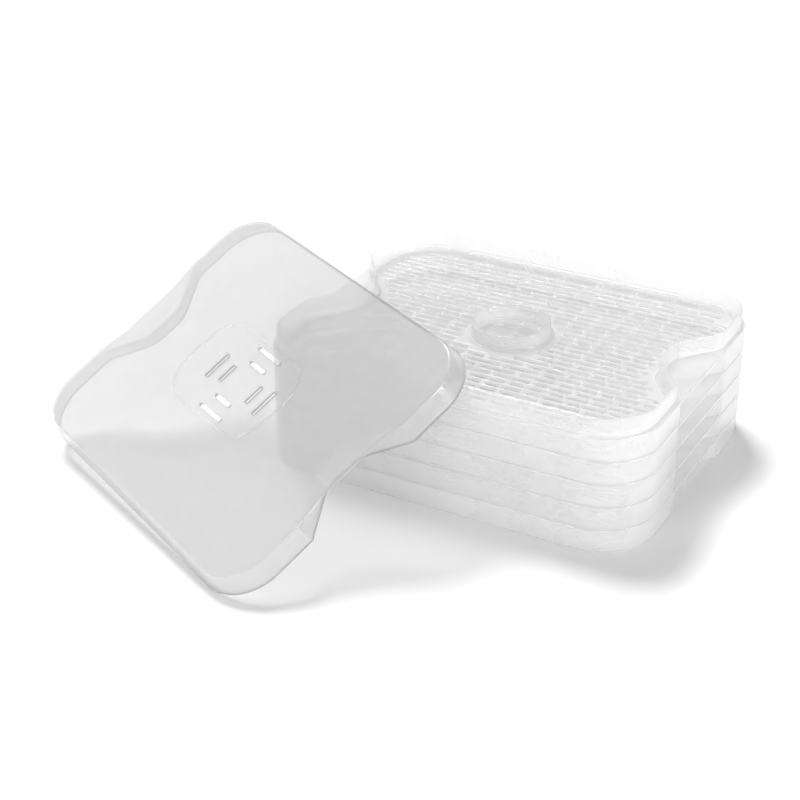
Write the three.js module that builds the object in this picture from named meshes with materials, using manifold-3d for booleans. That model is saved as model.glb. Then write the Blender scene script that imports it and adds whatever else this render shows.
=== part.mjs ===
// Drying stack of a food dehydrator: five stacked clear trays and the clear lid leaning on them.
// Millimetres, +Z up, long side along X, origin under the middle of the whole object.
import * as THREE from 'three';
import { mergeVertices } from 'three/addons/utils/BufferGeometryUtils.js';
import Module from 'manifold-3d';

const wasm = await Module();
wasm.setup();

// Driving dimensions of a tray's plan.
const LENGTH = 330;
const WIDTH = 264;
const CORNER_RADIUS = 46.3;
const WALL = 2;

// Finger pocket in the middle of each short side: a bite in the walls under a straight shelf.
const POCKET_DEPTH = 27.3;
const POCKET_MOUTH = 49;
const POCKET_FLOOR = 14;
const POCKET_MOUTH_FILLET = 5;
const POCKET_DEEP_FILLET = 16;

// Heights in a tray, from the lower edge of its skirt.
const TRAY_COUNT = 5;
const PITCH = 19.6;
const GAP = 0.3;
const LEDGE_TOP = PITCH - GAP;
const FLOOR_UNDERSIDE = 14.2;
const FLOOR_TOP = FLOOR_UNDERSIDE + WALL;
const RIM_TOP = 33.3;
const RIM_INSET = 3.2;

// Round air collar in the middle of the floor.
const COLLAR_OUTER_RADIUS = 32;
const COLLAR_BORE_RADIUS = 30;
const COLLAR_TOP = FLOOR_TOP + 12;

// Drying slots: long bars along X, with ribs across them.
const BAR_PITCH = 16.2;
const SLOT_WIDTH = 10.6;
const SLOT_MARGIN = 10;
const RIB_WIDTH = 7;
const COLLAR_MARGIN = 5;
const SLOT_ROWS = 15;

// Lid: it drops inside the rim of the top tray when the stack is closed.
const LID_INSET = RIM_INSET + WALL + GAP;
const LID_HEIGHT = 18.2;
const BEAD_LENGTH = 118.5;
const BEAD_WIDTH = 83.5;
const BEAD_RADIUS = 24;
const BEAD_OFF_CENTRE = -7.4;
const BEAD_THICKNESS = 2.4;
const BEAD_RISE = 1;

// Vent slots: a long and a short one on each side of the lid's middle.
const VENT_WIDTH = 4;
const VENT_STEPS = 2;
const VENTS_ACROSS = [{ offset: 35.4, length: 26 }, { offset: 20.2, length: 18 }];
const VENTS_ALONG = [{ offset: 31.8, length: 31 }, { offset: 18.6, length: 21 }];

// Lid's leaning pose beside the stack: low corner on the ground, plate on the top tray's rim.
const LID_CENTRE = new THREE.Vector3(-149.47, -157.08, 71.9);
const LID_YAW = -25.79;
const LID_ROLL = 2.757;
const LID_TILT = 31.54;

const CORNER_STEPS = 4;
const FILLET_STEPS = 2;
const ROUND_SEGMENTS = 24;

const clearPlastic = () => new THREE.MeshStandardMaterial({
  color: 0xe6e8e9,
  roughness: 0.08,
  metalness: 0,
});

// Adds the arc that rounds one corner of an outline, from its two edge directions.
function addFillet(points, corner, before, after, radius, steps) {
  const turn = Math.acos(THREE.MathUtils.clamp(before.dot(after), -1, 1));
  const side = Math.sign(before.cross(after));
  const start = corner.clone().addScaledVector(before, -radius * Math.tan(turn / 2));
  const normal = new THREE.Vector2(-before.y, before.x).multiplyScalar(side);
  const centre = start.clone().addScaledVector(normal, radius);
  for (let i = 0; i <= steps; i++) {
    points.push(start.clone().rotateAround(centre, (side * turn * i) / steps));
  }
}

// Closed outline through corners, each with its own rounding radius.
function filletedOutline(corners) {
  const points = [];
  corners.forEach(({ at, radius, steps }, i) => {
    const previous = corners.at(i - 1).at;
    const next = corners[(i + 1) % corners.length].at;
    const before = at.clone().sub(previous).normalize();
    const after = next.clone().sub(at).normalize();
    addFillet(points, at, before, after, radius, steps);
  });
  return points;
}

// Plan outline moved inward by an inset; the pockets are bitten out of its short sides.
function planOutline(inset, withPockets) {
  const x = LENGTH / 2 - inset;
  const y = WIDTH / 2 - inset;
  const corners = [];
  const add = (px, py, radius, steps) => {
    corners.push({ at: new THREE.Vector2(px, py), radius, steps });
  };
  const flankAngle = Math.atan2(POCKET_DEPTH, POCKET_MOUTH - POCKET_FLOOR);
  const drift = inset * Math.tan(flankAngle / 2);
  for (const side of [1, -1]) {
    add(side * x, -side * y, CORNER_RADIUS - inset, CORNER_STEPS);
    if (withPockets) {
      const mouth = POCKET_MOUTH + drift;
      const floor = POCKET_FLOOR + drift;
      const mouthFillet = Math.max(POCKET_MOUTH_FILLET - inset / 2, 1);
      const deepFillet = POCKET_DEEP_FILLET + inset;
      add(side * x, -side * mouth, mouthFillet, FILLET_STEPS);
      add(side * (x - POCKET_DEPTH), -side * floor, deepFillet, FILLET_STEPS);
      add(side * (x - POCKET_DEPTH), side * floor, deepFillet, FILLET_STEPS);
      add(side * x, side * mouth, mouthFillet, FILLET_STEPS);
    }
    add(side * x, side * y, CORNER_RADIUS - inset, CORNER_STEPS);
  }
  return filletedOutline(corners);
}

// Turns a closed three.js geometry into a manifold solid.
function solid(geometry) {
  const bare = geometry.clone();
  bare.deleteAttribute('normal');
  bare.deleteAttribute('uv');
  const merged = mergeVertices(bare, 1e-4);
  const mesh = new wasm.Mesh({
    numProp: 3,
    vertProperties: new Float32Array(merged.attributes.position.array),
    triVerts: new Uint32Array(merged.index.array),
  });
  mesh.merge();
  return new wasm.Manifold(mesh);
}

// Gives a manifold solid back as three.js geometry.
function geometryOf(body) {
  const { vertProperties, triVerts } = body.getMesh();
  const geometry = new THREE.BufferGeometry();
  geometry.setAttribute('position', new THREE.BufferAttribute(new Float32Array(vertProperties), 3));
  geometry.setIndex(new THREE.BufferAttribute(new Uint32Array(triVerts), 1));
  geometry.computeVertexNormals();
  return geometry;
}

// Upright prism of an outline, with the openings cut through it.
function prism(outline, openings, low, high) {
  const shape = new THREE.Shape(outline);
  shape.holes = openings.map((opening) => new THREE.Path([...opening].reverse()));
  const geometry = new THREE.ExtrudeGeometry(shape, { depth: high - low, bevelEnabled: false });
  return solid(geometry.translate(0, 0, low));
}

const unite = (bodies) => bodies.reduce((whole, body) => whole.add(body));

// Upright wall that follows the plan outline.
function wall(inset, low, high) {
  return prism(planOutline(inset, true), [planOutline(inset + WALL, true)], low, high);
}

function circle(radius) {
  const angles = Array.from({ length: ROUND_SEGMENTS }, (_, i) => (2 * Math.PI * i) / ROUND_SEGMENTS);
  return angles.map((t) => new THREE.Vector2(radius * Math.cos(t), radius * Math.sin(t)));
}

// Box that cuts one slot through the floor.
function slotCutter(x0, x1, y) {
  const depth = FLOOR_TOP - FLOOR_UNDERSIDE + 2 * WALL;
  const geometry = new THREE.BoxGeometry(x1 - x0, SLOT_WIDTH, depth);
  return solid(geometry.translate((x0 + x1) / 2, y, (FLOOR_TOP + FLOOR_UNDERSIDE) / 2));
}

// Half the free length of a slot row, so that slots stay clear of corners and pockets.
function rowReach(y) {
  const plain = LENGTH / 2 - RIM_INSET - WALL - SLOT_MARGIN;
  const bitten = plain - POCKET_DEPTH;
  const flank = POCKET_DEPTH / (POCKET_MOUTH - POCKET_FLOOR);
  const besidePocket = bitten + Math.max(Math.abs(y) - POCKET_FLOOR - SLOT_MARGIN, 0) * flank;
  const cornerCentre = WIDTH / 2 - CORNER_RADIUS;
  const inCorner = Math.max(Math.abs(y) + SLOT_WIDTH / 2 - cornerCentre, 0);
  const reach = CORNER_RADIUS - RIM_INSET - WALL - SLOT_MARGIN;
  const cornerLoss = reach - Math.sqrt(Math.max(reach ** 2 - inCorner ** 2, 0));
  return Math.min(plain - cornerLoss, besidePocket);
}

// Slots of one row: a left and a right one, parted by a rib or by the collar.
function rowSlots(y) {
  const reach = rowReach(y);
  const clear = COLLAR_OUTER_RADIUS + COLLAR_MARGIN;
  const chord = Math.sqrt(Math.max(clear ** 2 - Math.max(Math.abs(y) - SLOT_WIDTH / 2, 0) ** 2, 0));
  const inner = Math.max(chord, RIB_WIDTH / 2);
  return [slotCutter(inner, reach, y), slotCutter(-reach, -inner, y)];
}

function trayFloor() {
  const rows = Array.from({ length: SLOT_ROWS }, (_, i) => (i - (SLOT_ROWS - 1) / 2) * BAR_PITCH);
  const bore = circle(COLLAR_BORE_RADIUS);
  const plate = prism(planOutline(RIM_INSET, true), [bore], FLOOR_UNDERSIDE, FLOOR_TOP);
  return plate.subtract(unite(rows.flatMap(rowSlots)));
}

function trayLedge() {
  const inner = planOutline(RIM_INSET + WALL, true);
  return prism(planOutline(0, false), [inner], LEDGE_TOP - WALL, LEDGE_TOP);
}

function collar() {
  return prism(circle(COLLAR_OUTER_RADIUS), [circle(COLLAR_BORE_RADIUS)], FLOOR_UNDERSIDE, COLLAR_TOP);
}

function trayGeometry() {
  const skirt = wall(0, 0, LEDGE_TOP);
  const rim = wall(RIM_INSET, FLOOR_UNDERSIDE, RIM_TOP);
  return geometryOf(unite([skirt, trayLedge(), rim, trayFloor(), collar()]));
}

// Rounded rectangle about the origin.
function roundedRectangle(length, width, radius, steps) {
  const halfLength = length / 2;
  const halfWidth = width / 2;
  const signs = [[1, -1], [1, 1], [-1, 1], [-1, -1]];
  return filletedOutline(signs.map(([sx, sy]) => ({
    at: new THREE.Vector2(sx * halfLength, sy * halfWidth),
    radius,
    steps,
  })));
}

// Outlines of the vent slots: two across the lid on each side of its middle, and two along it.
function ventSlots() {
  const slots = [];
  for (const side of [1, -1]) {
    for (const { offset, length } of VENTS_ACROSS) {
      const slot = roundedRectangle(VENT_WIDTH, length, VENT_WIDTH / 2, VENT_STEPS);
      slots.push(slot.map((point) => point.add(new THREE.Vector2(side * offset, 0))));
    }
    for (const { offset, length } of VENTS_ALONG) {
      const slot = roundedRectangle(length, VENT_WIDTH, VENT_WIDTH / 2, VENT_STEPS);
      slots.push(slot.map((point) => point.add(new THREE.Vector2(0, side * offset))));
    }
  }
  return slots;
}

function lidGeometry() {
  const plateUnderside = LID_HEIGHT - WALL;
  const skirt = wall(LID_INSET, 0, LID_HEIGHT);
  const plate = prism(planOutline(LID_INSET, false), ventSlots(), plateUnderside, LID_HEIGHT);
  const outer = roundedRectangle(BEAD_LENGTH, BEAD_WIDTH, BEAD_RADIUS, CORNER_STEPS);
  const inner = roundedRectangle(
    BEAD_LENGTH - 2 * BEAD_THICKNESS,
    BEAD_WIDTH - 2 * BEAD_THICKNESS,
    BEAD_RADIUS - BEAD_THICKNESS,
    CORNER_STEPS,
  );
  const bead = prism(outer, [inner], plateUnderside, LID_HEIGHT + BEAD_RISE);
  return geometryOf(unite([skirt, plate, bead.translate(BEAD_OFF_CENTRE, 0, 0)]));
}

function named(name, geometry) {
  const mesh = new THREE.Mesh(geometry, clearPlastic());
  mesh.name = name;
  return mesh;
}

const group = new THREE.Group();
const assembly = new THREE.Group();
group.add(assembly);

const sharedTray = trayGeometry();
for (let i = 0; i < TRAY_COUNT; i++) {
  const tray = named(`tray_${i + 1}`, sharedTray);
  tray.position.z = i * PITCH;
  assembly.add(tray);
}

const lid = named('lid', lidGeometry());
lid.position.copy(LID_CENTRE);
const radians = (degrees) => THREE.MathUtils.degToRad(degrees);
lid.rotation.set(radians(LID_TILT), radians(LID_ROLL), radians(LID_YAW), 'ZYX');
assembly.add(lid);

// The origin is the middle of the underside of the whole object's box.
assembly.updateMatrixWorld(true);
const box = new THREE.Box3().setFromObject(assembly, true);
const middle = box.getCenter(new THREE.Vector3());
assembly.position.set(-middle.x, -middle.y, -box.min.z);

export default group;
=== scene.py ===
"""Looks of a food dehydrator's drying stack: five clear trays and the clear lid leaning on them.

Every length is in metres. The trays and the lid are built as surfaces of two parameters around the
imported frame: a profile carried along the plan outline, and a floor of slots laid out in rows.
"""

from __future__ import annotations

import logging
import math
from dataclasses import dataclass, field
from enum import Enum

import bmesh
import bpy
import numpy as np
from mathutils import Matrix, Vector
from mathutils.geometry import delaunay_2d_cdt

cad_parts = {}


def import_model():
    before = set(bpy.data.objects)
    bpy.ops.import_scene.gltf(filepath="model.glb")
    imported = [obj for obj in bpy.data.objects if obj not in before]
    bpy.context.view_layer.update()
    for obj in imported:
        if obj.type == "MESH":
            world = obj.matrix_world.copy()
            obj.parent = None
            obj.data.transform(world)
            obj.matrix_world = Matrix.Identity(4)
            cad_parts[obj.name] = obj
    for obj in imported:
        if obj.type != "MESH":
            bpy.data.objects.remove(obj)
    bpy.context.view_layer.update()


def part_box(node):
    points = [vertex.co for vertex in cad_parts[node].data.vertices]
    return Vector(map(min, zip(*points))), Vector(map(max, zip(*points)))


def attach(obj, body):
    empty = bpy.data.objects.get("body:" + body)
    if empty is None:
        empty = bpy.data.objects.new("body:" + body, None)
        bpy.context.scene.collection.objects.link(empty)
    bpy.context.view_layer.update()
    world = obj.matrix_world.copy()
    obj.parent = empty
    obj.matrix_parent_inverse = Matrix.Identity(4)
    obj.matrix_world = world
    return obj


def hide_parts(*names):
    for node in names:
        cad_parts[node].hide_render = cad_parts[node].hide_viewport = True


LOG = logging.getLogger("drying_stack")
MM = 0.001
WELD = 2e-6
SMOOTH_ANGLE = math.radians(38)
TINY = 1e-12
CELL_EDGE = -1.0
TRAYS = 5
LID_OFFSET = (-149.47 * MM, -157.08 * MM, 71.9 * MM)
LID_TURNS = (("Z", math.radians(-25.79)), ("Y", math.radians(2.757)), ("X", math.radians(31.54)))


def linear(hex_colour: str) -> tuple[float, float, float, float]:
    """Turns an sRGB colour to the linear one that shaders take.

    Args:
        hex_colour: the colour as #rrggbb.

    Returns:
        Linear red, green, blue and an alpha of 1.
    """
    parts = [int(hex_colour[i : i + 2], 16) / 255 for i in (1, 3, 5)]
    channels = [p / 12.92 if p <= 0.04045 else ((p + 0.055) / 1.055) ** 2.4 for p in parts]
    return (*channels, 1.0)


def add_node(
    tree: bpy.types.NodeTree,
    kind: str,
    links: dict[str | int, bpy.types.NodeSocket] | None = None,
    values: dict[str | int, object] | None = None,
    **settings: object,
) -> bpy.types.Node:
    """Adds one node with its settings, socket values and links.

    Args:
        tree: the node tree it goes into.
        kind: the node's type name.
        links: for each input, the output socket that feeds it.
        values: for each input, its plain value.
        **settings: the node's own properties.

    Returns:
        The new node.
    """
    node = tree.nodes.new(kind)
    for name, value in settings.items():
        setattr(node, name, value)
    for name, value in (values or {}).items():
        node.inputs[name].default_value = value
    for name, socket in (links or {}).items():
        tree.links.new(socket, node.inputs[name])
    return node


# ---------------------------------------------------------------- surfaces


def fillet_path(corners: np.ndarray, radii: np.ndarray, steps: int, closed: bool) -> np.ndarray:
    """Rounds each corner of a path in the plane.

    An arc of radius r that touches both edges of a corner starts r tan(turn / 2) before it, and its
    centre lies r to the side of the turn. Points follow it at equal angles.

    Args:
        corners: (n, 2) corner points.
        radii: (n,) rounding radii, 0 for a sharp corner.
        steps: parts that each arc is cut into.
        closed: whether the last corner joins the first.

    Returns:
        (n, steps + 1, 2) points, one row for each corner.
    """
    before = corners - np.roll(corners, 1, 0)
    after = np.roll(corners, -1, 0) - corners
    before /= np.maximum(np.linalg.norm(before, axis=1, keepdims=True), TINY)
    after /= np.maximum(np.linalg.norm(after, axis=1, keepdims=True), TINY)
    if not closed:
        before[0], after[-1] = after[0], before[-1]
    cross = before[:, 0] * after[:, 1] - before[:, 1] * after[:, 0]
    turn = np.arctan2(cross, (before * after).sum(1))
    radii = radii[:, None]
    start = corners - before * radii * np.tan(np.abs(turn) / 2)[:, None]
    side = np.sign(turn)[:, None]
    normal = np.stack([-before[:, 1], before[:, 0]], 1) * side
    centre = start + normal * radii
    angle = turn[:, None] * np.linspace(0, 1, steps + 1)[None]
    spoke = (start - centre)[:, None]
    cos, sin = np.cos(angle)[..., None], np.sin(angle)[..., None]
    quarter = np.stack([-spoke[..., 1], spoke[..., 0]], -1)
    return centre[:, None] + spoke * cos + quarter * sin


def grid_quads(rows: int, columns: int, wrap: bool) -> np.ndarray:
    """Numbers the quads of a grid of points, row by row.

    Args:
        rows: rows of points.
        columns: points in a row.
        wrap: whether each row closes on itself.

    Returns:
        (k, 4) point numbers.
    """
    ends = columns if wrap else columns - 1
    row, column = np.meshgrid(np.arange(rows - 1), np.arange(ends), indexing="ij")
    beside = (column + 1) % columns
    corners = [row * columns + column, row * columns + beside]
    corners += [(row + 1) * columns + beside, (row + 1) * columns + column]
    return np.stack(corners, -1).reshape(-1, 4)


class Skin:
    """A mesh in the making: patches of points and faces that are welded into one object."""

    def __init__(self) -> None:
        """Starts with no patches."""
        self.points: list[np.ndarray] = []
        self.faces: list[np.ndarray] = []
        self.finishes: list[np.ndarray] = []
        self.count = 0

    def add_faces(self, points: np.ndarray, faces: np.ndarray, finish: int = 0) -> None:
        """Adds points and the faces between them.

        Args:
            points: (n, 3) points.
            faces: (k, 3) or (k, 4) point numbers, counted from this patch's first point.
            finish: which of the piece's materials they wear.
        """
        self.points.append(points)
        self.faces.append(faces + self.count)
        self.finishes.append(np.full(len(faces), finish, np.int32))
        self.count += len(points)

    def add_grid(
        self, points: np.ndarray, wrap: bool = False, flip: bool = False, finish: int = 0
    ) -> None:
        """Adds one or more grids of points.

        Args:
            points: (..., rows, columns, 3) points.
            wrap: whether each row closes on itself.
            flip: whether the faces are turned over.
            finish: which of the piece's materials they wear.
        """
        rows, columns = points.shape[-3:-1]
        sheets = points.reshape(-1, rows * columns, 3)
        quads = grid_quads(rows, columns, wrap)
        if flip:
            quads = quads[:, ::-1]
        offsets = np.arange(len(sheets))[:, None, None] * rows * columns
        self.add_faces(sheets.reshape(-1, 3), (quads[None] + offsets).reshape(-1, 4), finish)

    def build(self, name: str, place: np.ndarray | None = None) -> bpy.types.Object:
        """Welds the patches into an object at the origin.

        Args:
            name: the object's name.
            place: a 4 x 4 matrix that moves the points to their place, or None.

        Returns:
            The new object, with smooth faces and sharp edges where the surface turns.
        """
        points = np.concatenate(self.points)
        if place is not None:
            points = points @ place[:3, :3].T + place[:3, 3]
        faces = [face for patch in self.faces for face in patch.tolist()]
        mesh = bpy.data.meshes.new(name)
        mesh.from_pydata(points.tolist(), [], faces)
        mesh.polygons.foreach_set("material_index", np.concatenate(self.finishes))
        shape = bmesh.new()
        shape.from_mesh(mesh)
        bmesh.ops.remove_doubles(shape, verts=shape.verts, dist=WELD)
        bmesh.ops.dissolve_degenerate(shape, edges=shape.edges, dist=WELD)
        shape.to_mesh(mesh)
        shape.free()
        mesh.shade_smooth()
        mesh.set_sharp_from_angle(angle=SMOOTH_ANGLE)
        piece = bpy.data.objects.new(name, mesh)
        bpy.context.scene.collection.objects.link(piece)
        return piece


class Side(Enum):
    """Which way a flat sheet faces."""

    UP = 1
    DOWN = -1


@dataclass(frozen=True)
class Plan:
    """Outline of a tray or the lid from above: a rounded oblong with a bite in each short side."""

    half_length: float
    half_width: float
    corner_radius: float = 46.3 * MM
    pocket_depth: float = 27.3 * MM
    pocket_mouth: float = 49 * MM
    pocket_floor: float = 14 * MM
    mouth_fillet: float = 5 * MM
    deep_fillet: float = 16 * MM
    least_fillet: float = 1 * MM
    setback: float = 0.0
    steps: int = 12

    def outline(self, inset: float, shelf: bool = False) -> np.ndarray:
        """Gives the outline moved inward.

        An edge that turns by an angle drifts along itself by the inset times the tangent of half
        that angle, so the pocket's corners move by that as the outline shrinks.

        Args:
            inset: how far the outline moves inward.
            shelf: whether the pockets are bridged by a straight shelf.

        Returns:
            (n, 2) points, the same number and order for every inset.
        """
        x, y = self.half_length - inset, self.half_width - inset
        flank = math.atan2(self.pocket_depth, self.pocket_mouth - self.pocket_floor)
        drift = inset * math.tan(flank / 2)
        mouth, floor = self.pocket_mouth + drift, self.pocket_floor + drift
        corner = self.corner_radius - inset
        small = max(self.mouth_fillet - inset / 2, self.least_fillet)
        deep = self.deep_fillet + inset
        bottom = x - self.pocket_depth
        half = [[x, -y, corner], [x, -mouth, small], [bottom, -floor, deep]]
        half += [[bottom, floor, deep], [x, mouth, small], [x, y, corner]]
        corners = np.array(half)
        corners = np.vstack([corners, corners * (-1, -1, 1)])
        points = fillet_path(corners[:, :2], corners[:, 2], self.steps, True).reshape(-1, 2)
        if shelf:
            straight = np.abs(points[:, 1]) < self.half_width - self.corner_radius - WELD
            edge = np.maximum(np.abs(points[:, 0]), x - self.setback)
            points[:, 0] = np.where(straight, np.sign(points[:, 0]) * edge, points[:, 0])
        return points

    def reach(self, inset: float, y: np.ndarray) -> np.ndarray:
        """Half the length of the moved outline at each distance from the long axis.

        Args:
            inset: how far the outline is moved inward.
            y: distances from the long axis.

        Returns:
            The half lengths.
        """
        points = self.outline(inset)
        right = points[points[:, 0] > 0]
        return np.interp(y, right[:, 1], right[:, 0])


@dataclass(frozen=True)
class Bend:
    """One corner of a wall's section: its inset, height, rounding, and the outline it follows."""

    inset: float
    height: float
    radius: float = 0.0
    shelf: bool = False


def carry_section(plan: Plan, bends: list[Bend], steps: int, closed: bool) -> np.ndarray:
    """Carries a wall's section round the plan.

    The point at section step v and outline step u is the outline for the inset at v, at the height
    at v. In the pockets it is either the bitten outline or the straight shelf's.

    Args:
        plan: the plan outline.
        bends: the section's corners in order.
        steps: parts that each rounding is cut into.
        closed: whether the section closes on itself.

    Returns:
        (v, u, 3) points.
    """
    corners = np.array([[bend.inset, bend.height] for bend in bends])
    radii = np.array([bend.radius for bend in bends])
    section = fillet_path(corners, radii, steps, closed)
    rows = []
    for bend, arc in zip(bends, section):
        for inset, height in arc if bend.radius else arc[:1]:
            ring = plan.outline(inset, bend.shelf)
            rows.append(np.column_stack([ring, np.full(len(ring), height)]))
    if closed:
        rows.append(rows[0])
    return np.stack(rows)


def slot_rings(
    slots: np.ndarray, cells: np.ndarray, radius: float, section: np.ndarray
) -> np.ndarray:
    """Surfaces round slots, each from its cell's edge over its lip and down through the floor.

    A ring is the slot's rounded oblong grown by g: round each corner's centre, which lies a radius
    in from the oblong's corner, the points lie at radius + g. A negative g, such as CELL_EDGE,
    stands for the cell's corners.

    Args:
        slots: (k, 4) x from, x to, y from and y to of each slot.
        cells: (k, 4) the same of the cell it stands in.
        radius: the slot's own corner radius.
        section: (v, 2) growth and height of each ring.

    Returns:
        (k, v, u, 3) points.
    """
    per_corner = 4
    start = np.arange(4) * math.pi / 2
    turn = np.linspace(0, math.pi / 2, per_corner)
    angle = (start[:, None] + turn[None]).ravel()
    sign_x = np.repeat([1, -1, -1, 1], per_corner)
    sign_y = np.repeat([1, 1, -1, -1], per_corner)
    grow, height = section[:, 0][None, :, None], section[:, 1][None, :, None]

    def corner(box: np.ndarray) -> tuple[np.ndarray, np.ndarray]:
        """Gives each ring point's own corner of the boxes."""
        x = np.where(sign_x > 0, box[:, 1:2], box[:, 0:1])
        y = np.where(sign_y > 0, box[:, 3:4], box[:, 2:3])
        return x[:, None], y[:, None]

    (slot_x, slot_y), (cell_x, cell_y) = corner(slots), corner(cells)
    x = slot_x - sign_x * radius + (radius + grow) * np.cos(angle)
    y = slot_y - sign_y * radius + (radius + grow) * np.sin(angle)
    x, y = np.where(grow < 0, cell_x, x), np.where(grow < 0, cell_y, y)
    return np.stack([x, y, np.broadcast_to(height, x.shape)], -1)


# ---------------------------------------------------------------- finishes


@dataclass(frozen=True)
class ClearMoulding:
    """Injection-moulded clear styrene: glossy and slightly milky, with a painted highlight that
    whitens its haze where a face is seen edge on.

    A wall lets most of what is behind it through. The rest is a soft haze that both sides light,
    and a mirror share that grows as a dielectric's does towards grazing, for an index near 1.57.
    """

    name: str
    tint: str = "#ffffff"
    # The plastic's own milkiness; a grey one paints shade, as on the lid and its dark edges.
    haze_and_painted_shade_colour: str = "#fafafa"
    # Painted highlight: the colour the haze turns to where a face is seen edge on, for bright rim
    # lines.
    painted_rim_highlight_colour: str = "#ffffff"
    haze: float = 0.26
    cloudiness: float = 0.1
    edge_haze: float = 0.5
    edge_power: float = 3.0
    head_on_mirror: float = 0.049
    roughness: float = 0.07
    flow_mm: float = 38.0
    ripple_mm: float = 9.0
    ripple_height: float = 0.04 * MM
    schlick_power: float = 5.0
    lit_share: float = 0.5
    roughness_spread: tuple[float, float] = (0.6, 1.5)

    def material(self) -> bpy.types.Material:
        """Builds the material.

        Returns:
            The material, all of it procedural on Object coordinates.
        """
        made = bpy.data.materials.new(self.name)
        made.use_nodes = True
        tree = made.node_tree
        tree.nodes.clear()
        place = add_node(tree, "ShaderNodeTexCoord").outputs["Object"]
        flow = self.noise(tree, place, self.flow_mm)
        ripple = self.noise(tree, place, self.ripple_mm)
        bump = add_node(
            tree,
            "ShaderNodeBump",
            links={"Height": ripple},
            values={"Strength": 1.0, "Distance": self.ripple_height},
        ).outputs["Normal"]
        facing = add_node(tree, "ShaderNodeLayerWeight", values={"Blend": 0.5}).outputs["Facing"]
        slope = self.math(tree, "POWER", facing, self.edge_power)
        least, most = (1 - self.cloudiness) * self.haze, (1 + self.cloudiness) * self.haze
        cloud = self.spread(tree, flow, least, most)
        thick = self.math(tree, "MULTIPLY_ADD", slope, self.edge_haze, cloud)
        mirror = self.math(tree, "POWER", facing, self.schlick_power)
        mirror = self.math(
            tree, "MULTIPLY_ADD", mirror, 1 - self.head_on_mirror, self.head_on_mirror
        )
        smooth, rougher = (share * self.roughness for share in self.roughness_spread)
        rough = self.spread(tree, flow, smooth, rougher)
        clear = add_node(
            tree, "ShaderNodeBsdfTransparent", values={"Color": linear(self.tint)}
        ).outputs[0]
        # The haze colour, whitened towards grazing edges by the painted rim highlight.
        haze_with_painted_shade_and_highlight = add_node(
            tree,
            "ShaderNodeMixRGB",
            {"Fac": slope},
            {"Color1": linear(self.haze_and_painted_shade_colour), "Color2": linear(self.painted_rim_highlight_colour)},
        ).outputs[0]
        lit = add_node(tree, "ShaderNodeBsdfDiffuse", {"Color": haze_with_painted_shade_and_highlight}).outputs[0]
        through = add_node(tree, "ShaderNodeBsdfTranslucent", {"Color": haze_with_painted_shade_and_highlight}).outputs[0]
        haze = add_node(
            tree, "ShaderNodeMixShader", {1: lit, 2: through}, {0: self.lit_share}
        ).outputs[0]
        body = add_node(tree, "ShaderNodeMixShader", {0: thick, 1: clear, 2: haze}).outputs[0]
        gloss = add_node(
            tree, "ShaderNodeBsdfGlossy", {"Roughness": rough, "Normal": bump}
        ).outputs[0]
        whole = add_node(tree, "ShaderNodeMixShader", {0: mirror, 1: body, 2: gloss}).outputs[0]
        add_node(tree, "ShaderNodeOutputMaterial", {"Surface": whole})
        return made

    @staticmethod
    def noise(
        tree: bpy.types.NodeTree, place: bpy.types.NodeSocket, size_mm: float
    ) -> bpy.types.NodeSocket:
        """Adds soft noise whose spots are about size_mm across and gives its value."""
        scale = 1 / (size_mm * MM)
        return add_node(
            tree, "ShaderNodeTexNoise", {"Vector": place}, {"Scale": scale, "Detail": 2.0}
        ).outputs[0]

    @staticmethod
    def spread(
        tree: bpy.types.NodeTree, value: bpy.types.NodeSocket, low: float, high: float
    ) -> bpy.types.NodeSocket:
        """Stretches noise to run from low to high and gives the result."""
        limits = {"From Min": 0.3, "From Max": 0.7, "To Min": low, "To Max": high}
        return add_node(tree, "ShaderNodeMapRange", {"Value": value}, limits).outputs[0]

    @staticmethod
    def math(
        tree: bpy.types.NodeTree,
        operation: str,
        value: bpy.types.NodeSocket,
        *others: float | bpy.types.NodeSocket,
    ) -> bpy.types.NodeSocket:
        """Adds one sum on a value, clamped to 0 to 1, and gives its result."""
        links: dict[str | int, bpy.types.NodeSocket] = {0: value}
        plain: dict[str | int, object] = {}
        for place, other in enumerate(others, 1):
            (links if isinstance(other, bpy.types.NodeSocket) else plain)[place] = other
        node = add_node(tree, "ShaderNodeMath", links, plain, operation=operation, use_clamp=True)
        return node.outputs[0]


# ---------------------------------------------------------------- trays


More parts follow.
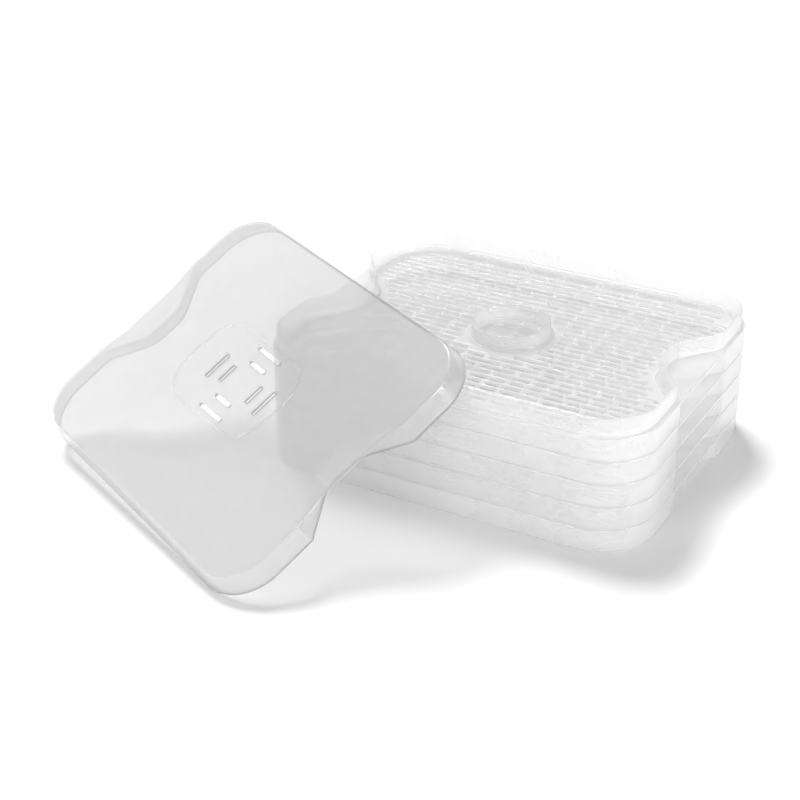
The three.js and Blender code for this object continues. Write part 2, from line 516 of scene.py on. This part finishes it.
@dataclass
class DryingTray:
    """One clear tray: a skirt, a ledge, a rim, a lattice floor and a round air collar."""

    number: int
    plan: Plan
    centre: Vector
    base: float
    wall: float = 2 * MM
    ledge: float = 19.3 * MM
    floor_under: float = 14.2 * MM
    floor_top: float = 16.2 * MM
    rim_top: float = 33.3 * MM
    rim_inset: float = 3.2 * MM
    plate_inset: float = 8 * MM
    section_steps: int = 4
    row_pitch: float = 8.1 * MM
    rows: int = 14
    slot_half: float = 3.05 * MM
    slot_radius: float = 1.5 * MM
    bridge_pitch: float = 17.3 * MM
    bridge_half: float = 1.7 * MM
    least_slot: float = 6 * MM
    end_margin: float = 6 * MM
    edge_slot_half: float = 2.8 * MM
    edge_slot_middle: float = 118.9 * MM
    edge_slot_length: float = 24.6 * MM
    collar_hole: float = 33.4 * MM
    collar_clear: float = 38 * MM
    collar_outer: float = 32 * MM
    collar_bore: float = 30 * MM
    collar_height: float = 12 * MM
    collar_flange: float = 2 * MM
    collar_steps: int = 64
    row_samples: int = 9
    half_row_slots: int = 6
    half_edge_slots: int = 5
    pip_half_along: float = 1.5 * MM
    pip_half_across: float = 2.5 * MM
    pip_height: float = 1.2 * MM
    pip_steps_round: int = 10
    pip_steps_up: int = 4
    crest: tuple[tuple[float, float], ...] = (
        (0.7 * MM, -0.08 * MM),
        (0.3 * MM, -0.4 * MM),
        (0, -0.9 * MM),
    )
    lip: tuple[tuple[float, float], ...] = (
        (2 * MM, 0),
        (1.6 * MM, 1 * MM),
        (1 * MM, 1.5 * MM),
        (0.3 * MM, 1 * MM),
        (0, 0),
    )
    lattice: Skin = field(default_factory=Skin)

    def place(self) -> np.ndarray:
        """Gives the matrix that moves the tray from its own origin to its level in the stack."""
        return np.array(Matrix.Translation((self.centre.x, self.centre.y, self.base)))

    def shell(self) -> bpy.types.Object:
        """Builds the skirt, the ledge over the pockets, and the rim, as one carried section.

        Returns:
            The shell's object.
        """
        wall, rim = self.wall, self.rim_inset
        under = self.ledge - wall
        bends = [
            Bend(self.plate_inset, self.floor_under),
            Bend(rim, self.floor_under, 0.8 * MM),
            Bend(rim, under, 0.4 * MM),
            Bend(wall, under, 0.3 * MM),
            Bend(wall, 0, 0.7 * MM),
            Bend(0, 0, 0.7 * MM),
            Bend(0, under),
            Bend(0, under, shelf=True),
            Bend(0, self.ledge, 1.2 * MM, shelf=True),
            Bend(rim, self.ledge, 0.7 * MM),
            Bend(rim, self.rim_top, 0.95 * MM),
            Bend(rim + wall, self.rim_top, 0.95 * MM),
            Bend(rim + wall, self.floor_top, 1.5 * MM),
            Bend(self.plate_inset, self.floor_top),
        ]
        skin = Skin()
        skin.add_grid(carry_section(self.plan, bends, self.section_steps, False), wrap=True)
        return skin.build(f"tray_{self.number}_shell", self.place())

    def sheet(self, y: np.ndarray, x_from: np.ndarray, x_to: np.ndarray) -> None:
        """Adds a plain stretch of floor, top and underside, between two curves over y.

        Args:
            y: distances from the long axis.
            x_from: the left curve's x at each y.
            x_to: the right curve's x at each y.
        """
        if np.max(x_to - x_from) < WELD:
            return
        for height, side in ((self.floor_top, Side.UP), (self.floor_under, Side.DOWN)):
            edge = np.stack([x_from, x_to])
            points = np.stack(
                [edge, np.broadcast_to(y, edge.shape), np.full(edge.shape, height)], -1
            )
            self.lattice.add_grid(points, flip=side is Side.UP)

    def row(
        self, y_from: float, y_to: float, starts: np.ndarray, ends: np.ndarray, middle: float,
        half: float, section: np.ndarray,
    ) -> None:
        """Lays one row of the floor: slots in cells, and plain floor out to the walls and collar.

        Args:
            y_from: the row's near edge.
            y_to: the row's far edge.
            starts: where the row's slots would start if nothing were in the way.
            ends: where they would end.
            middle: the slots' middle line.
            half: half a slot's width.
            section: growth and height of each ring round a slot.
        """
        y = np.linspace(y_from, y_to, self.row_samples)
        wall = self.plan.reach(self.plate_inset, y)
        limit = wall.min() - self.end_margin
        near = min(abs(y_from), abs(y_to))
        hole = np.sqrt(np.maximum(self.collar_hole**2 - y**2, 0))
        if near < self.collar_clear:
            bar = math.sqrt(self.collar_clear**2 - near**2)
            spans = [(-wall, -hole, -limit, -bar), (hole, wall, bar, limit)]
        else:
            spans = [(-wall, wall, -limit, limit)]
        for left, right, low, high in spans:
            x0, x1 = np.clip(starts, low, high), np.clip(ends, low, high)
            kept = x1 - x0 >= self.least_slot
            x0, x1 = x0[kept], x1[kept]
            if not len(x0):
                self.sheet(y, left, right)
                continue
            between = (x1[:-1] + x0[1:]) / 2
            cell0 = np.concatenate([[x0[0] - self.bridge_half], between])
            cell1 = np.concatenate([between, [x1[-1] + self.bridge_half]])
            flat = np.ones_like(x0)
            slots = np.stack([x0, x1, flat * (middle - half), flat * (middle + half)], 1)
            cells = np.stack([cell0, cell1, flat * y_from, flat * y_to], 1)
            self.lattice.add_grid(slot_rings(slots, cells, self.slot_radius, section), wrap=True)
            self.sheet(y, left, np.full_like(y, cell0[0]))
            self.sheet(y, np.full_like(y, cell1[-1]), right)
            self.pips(between, middle)

    def pips(self, x: np.ndarray, y: float) -> None:
        """Raises a small pip on each bridge between two slots, so that food doesn't stick.

        A pip is half an ellipsoid: at angle u round it and v up it, the point is
        (a cos v cos u, b cos v sin u, c sin v).

        Args:
            x: where the pips stand along the row.
            y: the row's middle line.
        """
        if not len(x):
            return
        around = np.linspace(0, 2 * math.pi, self.pip_steps_round, endpoint=False)
        rising = np.linspace(0, math.pi / 2, self.pip_steps_up)
        v, u = np.meshgrid(rising, around, indexing="ij")
        ball = np.stack([np.cos(v) * np.cos(u), np.cos(v) * np.sin(u), np.sin(v)], -1)
        dome = ball * (self.pip_half_along, self.pip_half_across, self.pip_height)
        place = np.stack([x, np.full_like(x, y), np.full_like(x, self.floor_top)], -1)
        self.lattice.add_grid(place[:, None, None] + dome, wrap=True)

    def slot_section(self, brim: tuple[tuple[float, float], ...]) -> np.ndarray:
        """Gives the section round a slot, from its cell's edge over its brim to the underside.

        Args:
            brim: growth, and height over the floor's top, of each ring of the brim.

        Returns:
            (v, 2) growth and height of each ring.
        """
        top, under = self.floor_top, self.floor_under
        rings = [(grow, top + lift) for grow, lift in brim]
        return np.array([(CELL_EDGE, top), *rings, (0, under), (CELL_EDGE, under)])

    def floor(self) -> bpy.types.Object:
        """Builds the floor: rows of staggered slots, and longer ones along each long wall.

        Returns:
            The floor's object.
        """
        crest, lip = self.slot_section(self.crest), self.slot_section(self.lip)
        counts = np.arange(-self.half_row_slots, self.half_row_slots + 1)
        for k in range(-self.rows, self.rows):
            bridges = (2 * counts + k % 2) * self.bridge_pitch
            self.row(
                k * self.row_pitch,
                (k + 1) * self.row_pitch,
                bridges[:-1] + self.bridge_half,
                bridges[1:] - self.bridge_half,
                (k + 0.5) * self.row_pitch,
                self.slot_half,
                crest,
            )
        edge = self.plan.half_width - self.plate_inset
        counts = np.arange(-self.half_edge_slots, self.half_edge_slots + 1)
        middles = (2 * counts + 0.5) * self.bridge_pitch
        for side in (1, -1):
            y_from, y_to = sorted([side * self.rows * self.row_pitch, side * edge])
            self.row(
                y_from,
                y_to,
                middles - self.edge_slot_length / 2,
                middles + self.edge_slot_length / 2,
                side * self.edge_slot_middle,
                self.edge_slot_half,
                lip,
            )
        return self.lattice.build(f"tray_{self.number}_lattice", self.place())

    def collar(self) -> bpy.types.Object:
        """Builds the round collar that lets air up the middle: its section turned about Z.

        The point at angle u and section step v is (r cos u, r sin u, z) for that step's r and z.

        Returns:
            The collar's object.
        """
        outer, bore = self.collar_outer, self.collar_bore
        flange, top = self.collar_hole + self.collar_flange, self.floor_top
        high = top + self.collar_height
        corners = np.array(
            [
                [flange, top - 0.2 * MM],
                [flange, top + 1 * MM],
                [outer, top + 1 * MM],
                [outer, high],
                [bore, high],
                [bore, self.floor_under - 0.4 * MM],
                [flange, self.floor_under - 0.4 * MM],
            ]
        )
        radii = np.array([0, 0.5, 1.2, 0.95, 0.95, 0.6, 0.3]) * MM
        section = fillet_path(corners, radii, self.section_steps, True).reshape(-1, 2)
        section = np.vstack([section, section[:1]])
        angle = np.linspace(0, 2 * math.pi, self.collar_steps, endpoint=False)
        radius, height = section[:, :1], section[:, 1:]
        points = np.stack(
            [
                radius * np.cos(angle),
                radius * np.sin(angle),
                np.broadcast_to(height, (len(section), len(angle))),
            ],
            -1,
        )
        skin = Skin()
        skin.add_grid(points, wrap=True)
        return skin.build(f"tray_{self.number}_collar", self.place())

    def build(self, wall_finish: bpy.types.Material, floor_finish: bpy.types.Material) -> None:
        """Builds and dresses the tray's pieces, which ride on its body in place of its frame node.

        Args:
            wall_finish: the shell's and the collar's material.
            floor_finish: the lattice floor's material.
        """
        node = f"tray_{self.number}"
        for piece in (self.shell(), self.collar()):
            dress(piece, [wall_finish], node, node)
        dress(self.floor(), [floor_finish], node, node)


# ---------------------------------------------------------------- lid


@dataclass
class LeaningLid:
    """The clear lid, which leans on the stack's corner.

    It is a plate with a straight edge over each recess, a bead round its vent slots, and a skirt
    that leans in by the draft from its foot to the plate.
    """

    plan: Plan
    place: np.ndarray
    inset: float = 5.5 * MM
    wall: float = 2 * MM
    height: float = 18.2 * MM
    draft: float = 5 * MM
    plate_margin: float = 12 * MM
    section_steps: int = 4
    bead_length: float = 118.5 * MM
    bead_width: float = 83.5 * MM
    bead_radius: float = 28 * MM
    bead_off_centre: float = -7.4 * MM
    bead_rise: float = 1.6 * MM
    bead_thickness: float = 2.4 * MM
    bead_steps: int = 16
    bead_across: tuple[float, ...] = (0, 0.15, 0.35, 0.5, 0.65, 0.85, 1)
    bead_swell: tuple[float, ...] = (0, 0.45, 0.9, 1, 0.9, 0.45, 0)
    foot_height: float = 0.75 * MM
    vent_half: float = 1.7 * MM
    vent_lip: tuple[tuple[float, float], ...] = (
        (1.2 * MM, 0),
        (0.95 * MM, 0.6 * MM),
        (0.55 * MM, 0.9 * MM),
        (0.1 * MM, 0.6 * MM),
        (0, 0),
    )
    vents_across: tuple[tuple[float, float], ...] = ((35.4 * MM, 26 * MM), (20.2 * MM, 18 * MM))
    vents_along: tuple[tuple[float, float], ...] = ((31.8 * MM, 31 * MM), (18.6 * MM, 21 * MM))

    def bead_outline(self, inset: float, angles: np.ndarray) -> np.ndarray:
        """Gives the bead's outline, moved inward, along rays from its middle.

        Args:
            inset: how far the outline moves inward.
            angles: the rays' directions.

        Returns:
            (n, 2) points, one on each ray.
        """
        x, y = self.bead_length / 2 - inset, self.bead_width / 2 - inset
        corners = np.array([[x, -y], [x, y], [-x, y], [-x, -y]])
        radii = np.full(4, self.bead_radius - inset)
        ring = fillet_path(corners, radii, self.bead_steps, True).reshape(-1, 2)
        bearing = np.arctan2(ring[:, 1], ring[:, 0])
        order = np.argsort(bearing)
        span = 2 * math.pi
        bearing = np.concatenate([bearing[order] - span, bearing[order], bearing[order] + span])
        radius = np.tile(np.linalg.norm(ring[order], axis=1), 3)
        distance = np.interp(angles, bearing, radius)
        spokes = np.stack([np.cos(angles), np.sin(angles)], 1) * distance[:, None]
        return spokes + (self.bead_off_centre, 0)

    def vents(self) -> np.ndarray:
        """Gives each vent slot's x from, x to, y from and y to."""
        boxes = []
        for side in (1, -1):
            for offset, length in self.vents_across:
                x = side * offset
                boxes.append([x - self.vent_half, x + self.vent_half, -length / 2, length / 2])
            for offset, length in self.vents_along:
                y = side * offset
                boxes.append([-length / 2, length / 2, y - self.vent_half, y + self.vent_half])
        return np.array(boxes)

    def fill(
        self, skin: Skin, outer: np.ndarray, holes: np.ndarray, height: float, side: Side
    ) -> None:
        """Fills a flat region with holes.

        Args:
            skin: the mesh in the making.
            outer: (n, 2) outline.
            holes: (k, m, 2) hole outlines.
            height: where the sheet lies.
            side: which way it faces.
        """
        rings = [outer, *holes]
        points = np.concatenate(rings)
        starts = np.cumsum([0] + [len(ring) for ring in rings])
        edges = [
            (int(a), int(start + (a - start + 1) % len(ring)))
            for start, ring in zip(starts, rings)
            for a in range(start, start + len(ring))
        ]
        flat, _, faces, *_ = delaunay_2d_cdt(
            [Vector(point) for point in points], edges, [], 0, WELD
        )
        flat_points = np.array(flat)
        triangles = np.array(faces)
        middles = flat_points[triangles].mean(1)
        inside = within(outer, middles)
        for hole in holes:
            inside &= ~within(hole, middles)
        kept = triangles[inside]
        a, b, c = (flat_points[kept[:, i]] for i in range(3))
        area = (b - a)[:, 0] * (c - a)[:, 1] - (b - a)[:, 1] * (c - a)[:, 0]
        wrong = np.sign(area) != side.value
        kept[wrong] = kept[wrong][:, ::-1]
        heights = np.full((len(flat_points), 1), height)
        skin.add_faces(np.hstack([flat_points, heights]), kept)

    def build(
        self, finish: bpy.types.Material, painted_dark_edge_finish: bpy.types.Material
    ) -> bpy.types.Object:
        """Builds and dresses the lid.

        Args:
            finish: its material.
            painted_dark_edge_finish: the material of the skirt's foot and the vents' walls, a dark
                grey that paints the dark lines refraction gives where the plastic is seen edge on.

        Returns:
            The lid's object, riding on its body in place of its frame node.
        """
        start, wall, high = self.inset, self.wall, self.height
        under = high - wall
        head = start + self.draft
        shoulder = start + self.draft * under / high
        top = [
            Bend(shoulder + wall, under, 0.4 * MM),
            Bend(start + wall, 0, 0.7 * MM),
            Bend(start, 0, 0.7 * MM),
            Bend(shoulder, under),
            Bend(shoulder, under, shelf=True),
            Bend(head, high, 1.9 * MM, shelf=True),
            Bend(start + self.plate_margin, high, shelf=True),
        ]
        skin = Skin()
        rings = carry_section(self.plan, top, self.section_steps, False)
        foot = np.flatnonzero(rings[:, 0, 2] < self.foot_height)
        skin.add_grid(rings[: foot[0] + 1], wrap=True)
        # The skirt's foot wears the second finish: painted shade for the dark line along the edge.
        skin.add_grid(rings[foot[0] : foot[-1] + 1], wrap=True, finish=1)
        skin.add_grid(rings[foot[-1] :], wrap=True)
        edge = rings[-1]
        around = edge[:, :2] - (self.bead_off_centre, 0)
        angles = np.arctan2(around[:, 1], around[:, 0])
        ridge = self.bead_thickness * np.array(self.bead_across)
        rise = self.bead_rise * np.array(self.bead_swell)
        bead = [
            np.column_stack([self.bead_outline(inset, angles), np.full(len(angles), high + lift)])
            for inset, lift in zip(ridge, rise)
        ]
        skin.add_grid(np.stack([edge, *bead]), wrap=True)
        lower = rings[0]
        lower_angles = np.arctan2(lower[:, 1], lower[:, 0] - self.bead_off_centre)
        inner_under = self.bead_outline(self.bead_thickness, lower_angles)
        inner_under = np.column_stack([inner_under, np.full(len(inner_under), under)])
        skin.add_grid(np.stack([inner_under, lower]), wrap=True)
        vents = self.vents()
        lip = [(grow, high + lift) for grow, lift in self.vent_lip]
        sleeves = slot_rings(vents, vents, self.vent_half, np.array([*lip, (0, under)]))
        skin.add_grid(sleeves[:, :-1], wrap=True)
        # The vents' walls wear it as well: painted dark lines round the vents.
        skin.add_grid(sleeves[:, -2:], wrap=True, finish=1)
        self.fill(skin, bead[-1][:, :2], sleeves[:, 0, :, :2], high, Side.UP)
        self.fill(skin, inner_under[:, :2], sleeves[:, -1, :, :2], under, Side.DOWN)
        lid = skin.build("lid_shell", self.place)
        dress(lid, [finish, painted_dark_edge_finish], "lid", "lid")
        return lid


def within(ring: np.ndarray, points: np.ndarray) -> np.ndarray:
    """Tells which points lie in a ring: a ray to +x crosses its edges an odd number of times.

    Args:
        ring: (n, 2) outline.
        points: (k, 2) points.

    Returns:
        (k,) truth values.
    """
    a, b = ring[None], np.roll(ring, -1, 0)[None]
    x, y = points[:, None, 0], points[:, None, 1]
    spans = (a[..., 1] > y) != (b[..., 1] > y)
    rise = np.where(b[..., 1] == a[..., 1], 1.0, b[..., 1] - a[..., 1])
    crossing = a[..., 0] + (y - a[..., 1]) * (b[..., 0] - a[..., 0]) / rise
    return (spans & (x < crossing)).sum(1) % 2 == 1


def dress(
    piece: bpy.types.Object, finishes: list[bpy.types.Material], body: str, node: str
) -> None:
    """Gives a piece its materials, and lets it stand for a frame node on that node's body.

    Args:
        piece: the finished piece.
        finishes: its materials, in the order that its faces number them.
        body: the body it rides on.
        node: the frame node it stands for.
    """
    for finish in finishes:
        piece.data.materials.append(finish)
    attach(piece, body)
    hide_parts(node)
    LOG.info("%s: %d faces on %s", piece.name, len(piece.data.polygons), body)


# ---------------------------------------------------------------- studio


@dataclass
class Studio:
    """A pale floor, soft light and the camera.

    Each of the lamps is its name, where it hangs, its side and its power in watts.
    """

    middle: Vector
    aim: Vector = field(default_factory=lambda: Vector((-26.35 * MM, 104.7 * MM, 0)))
    distance: float = 1.51254
    azimuth: float = math.radians(29.4436)
    pitch: float = math.radians(28.217)
    roll: float = math.radians(-0.4758)
    lens_mm: float = 78.337
    sensor_mm: float = 36.0
    floor_size: float = 60.0
    ambient: float = 0.36
    key_strength: float = 2.5
    key_spread: float = math.radians(22)
    key_direction: tuple[float, float, float] = (-0.42, 0.3, 0.86)
    lamps: tuple[tuple[str, tuple[float, float, float], float, float], ...] = (
        ("sparkle", (-0.5, 1.1, 1.8), 0.22, 4.0),
        ("front_fill", (-0.3, -2.2, 0.5), 1.0, 16.0),
        ("left_fill", (-2.0, -0.9, 0.5), 0.8, 6.0),
        ("right_fill", (2.2, -0.2, 0.5), 1.0, 20.0),
    )
    transparent_bounces: int = 64
    diffuse_bounces: int = 8

    def camera(self) -> None:
        """Sets the camera, looking down on the stack from the front right."""
        lens = bpy.data.cameras.new("camera")
        lens.lens, lens.sensor_width = self.lens_mm, self.sensor_mm
        eye = bpy.data.objects.new("camera", lens)
        bpy.context.scene.collection.objects.link(eye)
        cos, sin = math.cos(self.pitch), math.sin(self.pitch)
        back = Vector((math.sin(self.azimuth) * cos, -math.cos(self.azimuth) * cos, sin))
        right = Vector((math.cos(self.azimuth), math.sin(self.azimuth), 0))
        up = back.cross(right)
        turn = Matrix((right, up, back)).transposed() @ Matrix.Rotation(self.roll, 3, "Z")
        eye.matrix_world = Matrix.Translation(self.aim + back * self.distance) @ turn.to_4x4()
        bpy.context.scene.camera = eye

    def floor(self) -> None:
        """Lays the pale floor, a wide sheet of matt paper."""
        half = self.floor_size / 2
        mesh = bpy.data.meshes.new("studio_floor")
        corners = [(-half, -half, 0), (half, -half, 0), (half, half, 0), (-half, half, 0)]
        mesh.from_pydata(corners, [], [(0, 1, 2, 3)])
        sheet = bpy.data.objects.new("studio_floor", mesh)
        bpy.context.scene.collection.objects.link(sheet)
        paper = bpy.data.materials.new("matt_white_paper")
        paper.use_nodes = True
        tree = paper.node_tree
        shader = tree.nodes["Principled BSDF"]
        shader.inputs["Base Color"].default_value = linear("#f8f8f8")
        shader.inputs["Roughness"].default_value = 0.9
        shader.inputs["Specular IOR Level"].default_value = 0.0
        mesh.materials.append(paper)

    def light(self, name: str, at: Vector, size: float, power: float) -> None:
        """Hangs a square soft box that faces the middle of the object.

        Args:
            name: the lamp's name.
            at: where it hangs.
            size: its side.
            power: its power in watts.
        """
        lamp = bpy.data.lights.new(name, "AREA")
        lamp.shape, lamp.size, lamp.energy = "SQUARE", size, power
        holder = bpy.data.objects.new(name, lamp)
        bpy.context.scene.collection.objects.link(holder)
        holder.location = at
        holder.rotation_euler = (self.middle - at).to_track_quat("-Z", "Y").to_euler()

    def key(self, direction: Vector) -> None:
        """Adds the broad key light from overhead, which is as bright all over the floor.

        Args:
            direction: from the object towards the light.
        """
        lamp = bpy.data.lights.new("key", "SUN")
        lamp.energy, lamp.angle = self.key_strength, self.key_spread
        holder = bpy.data.objects.new("key", lamp)
        bpy.context.scene.collection.objects.link(holder)
        holder.rotation_euler = (-direction).to_track_quat("-Z", "Y").to_euler()

    def build(self) -> None:
        """Sets up the camera, the floor, the sky and the lamps."""
        self.camera()
        self.floor()
        world = bpy.data.worlds.new("studio")
        world.use_nodes = True
        tree = world.node_tree
        sky = tree.nodes["Background"]
        sky.inputs["Strength"].default_value = self.ambient
        backdrop = add_node(tree, "ShaderNodeBackground", values={"Strength": 1.0})
        for shade in (sky, backdrop):
            shade.inputs["Color"].default_value = linear("#ffffff")
        seen = add_node(tree, "ShaderNodeLightPath").outputs["Is Camera Ray"]
        links = {0: seen, 1: sky.outputs[0], 2: backdrop.outputs[0]}
        mixed = add_node(tree, "ShaderNodeMixShader", links).outputs[0]
        tree.links.new(mixed, tree.nodes["World Output"].inputs["Surface"])
        bpy.context.scene.world = world
        self.key(Vector(self.key_direction))
        for name, at, size, power in self.lamps:
            self.light(name, Vector(at), size, power)
        scene = bpy.context.scene
        scene.view_settings.view_transform = "Standard"
        scene.cycles.transparent_max_bounces = self.transparent_bounces
        scene.cycles.diffuse_bounces = self.diffuse_bounces


def lid_place(stack: Vector) -> np.ndarray:
    """Gives the lid's place, from its turns about its own Z, then Y, then X.

    Args:
        stack: the middle of the stack's footprint.

    Returns:
        A 4 x 4 matrix from the lid's own frame.
    """
    turn = Matrix.Identity(4)
    for axis, angle in LID_TURNS:
        turn @= Matrix.Rotation(angle, 4, axis)
    return np.array(Matrix.Translation(stack + Vector(LID_OFFSET)) @ turn)


def main() -> None:
    """Builds the trays from the bottom up, then the lid and the studio."""
    logging.basicConfig(level=logging.INFO, format="%(message)s")
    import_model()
    low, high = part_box("tray_1")
    stack = Vector(((low.x + high.x) / 2, (low.y + high.y) / 2, 0))
    half_length, half_width = (high.x - low.x) / 2, (high.y - low.y) / 2
    tray_plan = Plan(half_length, half_width)
    wall_finish = ClearMoulding("clear_moulded_styrene").material()
    floor_finish = ClearMoulding("clear_ribbed_styrene", haze=0.44).material()
    for number in range(1, TRAYS + 1):
        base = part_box(f"tray_{number}")[0].z
        DryingTray(number, tray_plan, stack, base).build(wall_finish, floor_finish)
    lid_plan = Plan(half_length, half_width, setback=5 * MM)
    # The lid's haze is a darker grey than the trays': its own milkiness, and painted shade for the
    # shadowed floor seen through it.
    lid_finish_with_painted_shade = ClearMoulding(
        "clear_lid_styrene_with_painted_shade", haze_and_painted_shade_colour="#d8d8d8", haze=0.34, cloudiness=0.04
    ).material()
    # Painted shade: a dark grey finish on the lid's skirt foot and vent walls, for the dark lines
    # refraction gives along edges seen end on.
    painted_dark_edge_finish = ClearMoulding(
        "styrene_painted_dark_at_edges", "#c6c6c6", haze_and_painted_shade_colour="#9a9a9a", haze=0.2
    ).material()
    LeaningLid(lid_plan, lid_place(stack)).build(lid_finish_with_painted_shade, painted_dark_edge_finish)
    Studio(stack).build()


if __name__ == "__main__":
    main()
